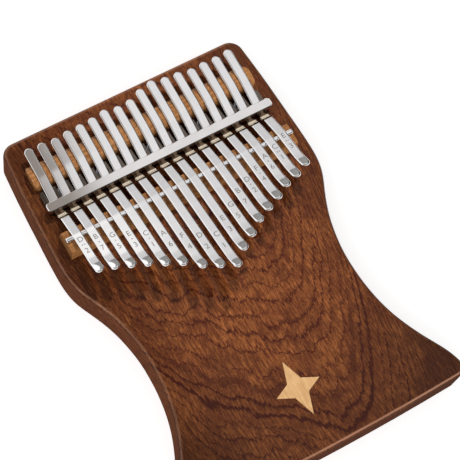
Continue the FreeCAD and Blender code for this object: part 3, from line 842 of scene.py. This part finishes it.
def soften(name, width_m):
    """Rounds the edges of a node that stays, without touching its own vertices."""
    ob = frame["nodes"][name]
    weld = ob.modifiers.new("weld", "WELD")
    weld.merge_threshold = 0.000002
    bevel = ob.modifiers.new("soft_edges", "BEVEL")
    bevel.width = width_m
    bevel.segments = 3
    bevel.limit_method = "ANGLE"
    bevel.angle_limit = math.radians(28)
    bevel.harden_normals = True
    bevel.use_clamp_overlap = True


soften("pressure_bar", width_m=0.00012)

# ---------------------------------------------------------------------------
# Floor and lights, in metres
# ---------------------------------------------------------------------------
FLOOR_HALF_M, FLOOR_CELLS, FLOOR_DROP_M = 1.6, 12, 0.0002


def build_floor():
    bm = bmesh.new()
    stops = [(i / FLOOR_CELLS - 0.5) * 2 * FLOOR_HALF_M for i in range(FLOOR_CELLS + 1)]
    grid = [[bm.verts.new((x, y, 0.0)) for x in stops] for y in stops]
    for near, far in zip(grid[:-1], grid[1:]):
        for i in range(FLOOR_CELLS):
            bm.faces.new((near[i], near[i + 1], far[i + 1], far[i]))
    floor = make_object("floor", bm, [floor_paper()], sharp_angle=30)
    floor.location.z = -FLOOR_DROP_M
    floor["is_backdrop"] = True


def area_light(name, place, target, size, power):
    light = bpy.data.lights.new(name, "AREA")
    light.shape = "RECTANGLE"
    light.size, light.size_y = size
    light.energy = power
    ob = bpy.data.objects.new(name, light)
    objects.link(ob)
    ob.location = place
    aim = Vector(target) - Vector(place)
    ob.rotation_euler = aim.to_track_quat("-Z", "Y").to_euler()
    ob.visible_glossy = False
    return ob


build_floor()

# the key stands behind the tails on the right, and the tongues' shadows fall on the board
key = area_light("key_soft", place=(0.50, 0.61, 1.28), target=(0, 0, 0),
                 size=(0.12, 0.12), power=15.5)
area_light("fill_soft", place=(-0.7, -0.5, 0.9), target=(0, 0, 0), size=(0.9, 0.9), power=2.6)
low = area_light("low_soft", place=(0.10, -1.0, 0.45), target=(0, 0.02, 0.01),
                 size=(0.5, 0.3), power=6.0)
# the key and the low light reach the instrument only, so the floor stays pale
lit = bpy.data.collections.new("lit_by_key")
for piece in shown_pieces():
    lit.objects.link(piece)
key.light_linking.receiver_collection = lit
low.light_linking.receiver_collection = lit


# ---------------------------------------------------------------------------
# World: what polished surfaces see. dx, dy, dz is the direction looked in.
# ---------------------------------------------------------------------------
def reflected_studio(w):
    dx, dy, dz = w.split(w.node("ShaderNodeTexCoord").outputs["Generated"])
    degrees = 57.29578
    elevation = w.mul(w.math("ARCSINE", dz), degrees)
    # 0 to the rear, positive to the right
    azimuth = w.mul(w.math("ARCTAN2", dx, dy), degrees)

    # pale softboxes, brighter overhead
    tone = w.fade(elevation, over=(25.0, 72.0), to=(0.64, 0.82))
    pale = w.scaled((tone,) * 3, scale=(1, 0.985, 0.99))
    # white high at the rear, except to the right
    glow = w.mul(w.rise(elevation, over=(46.5, 49.5)), w.fall(azimuth, over=(19.0, 25.0)),
                 w.rise(dy, over=(0.45, 0.55)))
    # dark gap overhead, mostly on the left
    gap = w.mul(w.fall(w.add(dx, w.mul(dy, -0.04)), over=(0.185, 0.228)),
                w.fall(dy, over=(0.44, 0.56)),
                w.rise(elevation, over=(30.0, 42.0)),
                w.rise(dy, over=(-0.62, -0.45)))
    # white low on the left
    west = w.mul(w.fall(elevation, over=(24.0, 34.0)), w.fall(dx, over=(-0.45, -0.25)),
                 w.fade(elevation, over=(-2.0, 2.0)))
    # grey band low at the rear: its upper edge is crisp on the right and softens leftwards,
    # and below it white comes back on the left only
    softness = w.mul(w.math("MAXIMUM", w.sub(19.0, azimuth), 0.0), 0.5)
    upper = w.fall(w.add(elevation, w.mul(azimuth, 0.5)), over=(w.sub(32.8, softness), 34.5))
    lower = w.rise(w.add(elevation, w.mul(azimuth, 2.2)), over=(44.0, 47.0))
    north = w.rise(dy, over=(0.25, 0.4))
    grey = w.fade(elevation, over=(2.0, 26.0), to=(0.42, 0.24))
    # dark studio low on the player's side and on the right
    south = w.mul(w.fall(dy, over=(-0.45, -0.30)), w.fall(elevation, over=(30.0, 38.0)))
    east = w.mul(w.rise(dx, over=(0.40, 0.50)), w.fall(elevation, over=(62.0, 70.0)))
    return w.layers(
        pale,
        (glow, (1.02, 1.01, 1.0)),
        (w.mul(gap, 0.90), (0.230, 0.195, 0.170)),
        (west, (1.15, 1.13, 1.10)),
        (w.mul(upper, north), (1.1, 1.1, 1.1)),
        (w.mul(upper, lower, north), w.scaled((grey,) * 3, scale=(1, 0.98, 0.95))),
        (w.mul(south, 0.96), (0.03, 0.025, 0.02)),
        (w.mul(east, 0.97), (0.05, 0.04, 0.03)))


world = bpy.data.worlds.new("studio")
scene.world = world
world.use_nodes = True
w = Graph(world.node_tree)
ray = w.node("ShaderNodeLightPath").outputs
# matt surfaces get an even grey, reflections the studio, and the camera plain white
sky = w.mix(ray["Is Glossy Ray"], (0.40, 0.40, 0.40), reflected_studio(w))
sky = w.mix(ray["Is Camera Ray"], sky, (1.0, 1.0, 1.0))
background = w.node("ShaderNodeBackground", {0: sky})
w.node("ShaderNodeOutputWorld", {0: background.outputs[0]})

# ---------------------------------------------------------------------------
# Camera: above the player's left, looking down to the rear, in metres
# ---------------------------------------------------------------------------
camera = bpy.data.cameras.new("camera")
camera.sensor_fit = "HORIZONTAL"
camera.sensor_width = 36.0
camera.lens = 115.328348
camera.shift_x = 0.441695652
camera.shift_y = 0.0181521739
camera.clip_start = 0.01
camera.clip_end = 20.0
camera_object = bpy.data.objects.new("camera", camera)
objects.link(camera_object)
right = Vector((0.886848, -0.462061, 0.0))
backward = Vector((-0.16762, -0.32171, 0.93189)).normalized()
upward = backward.cross(right)
place = Vector((-0.1768, -0.1576, 0.6139))
rows = [tuple(row) for row in zip(right, upward, backward, place)]
camera_object.matrix_world = Matrix((*rows, (0, 0, 0, 1)))
scene.camera = camera_object

scene.view_settings.view_transform = "Standard"
scene.view_settings.look = "None"
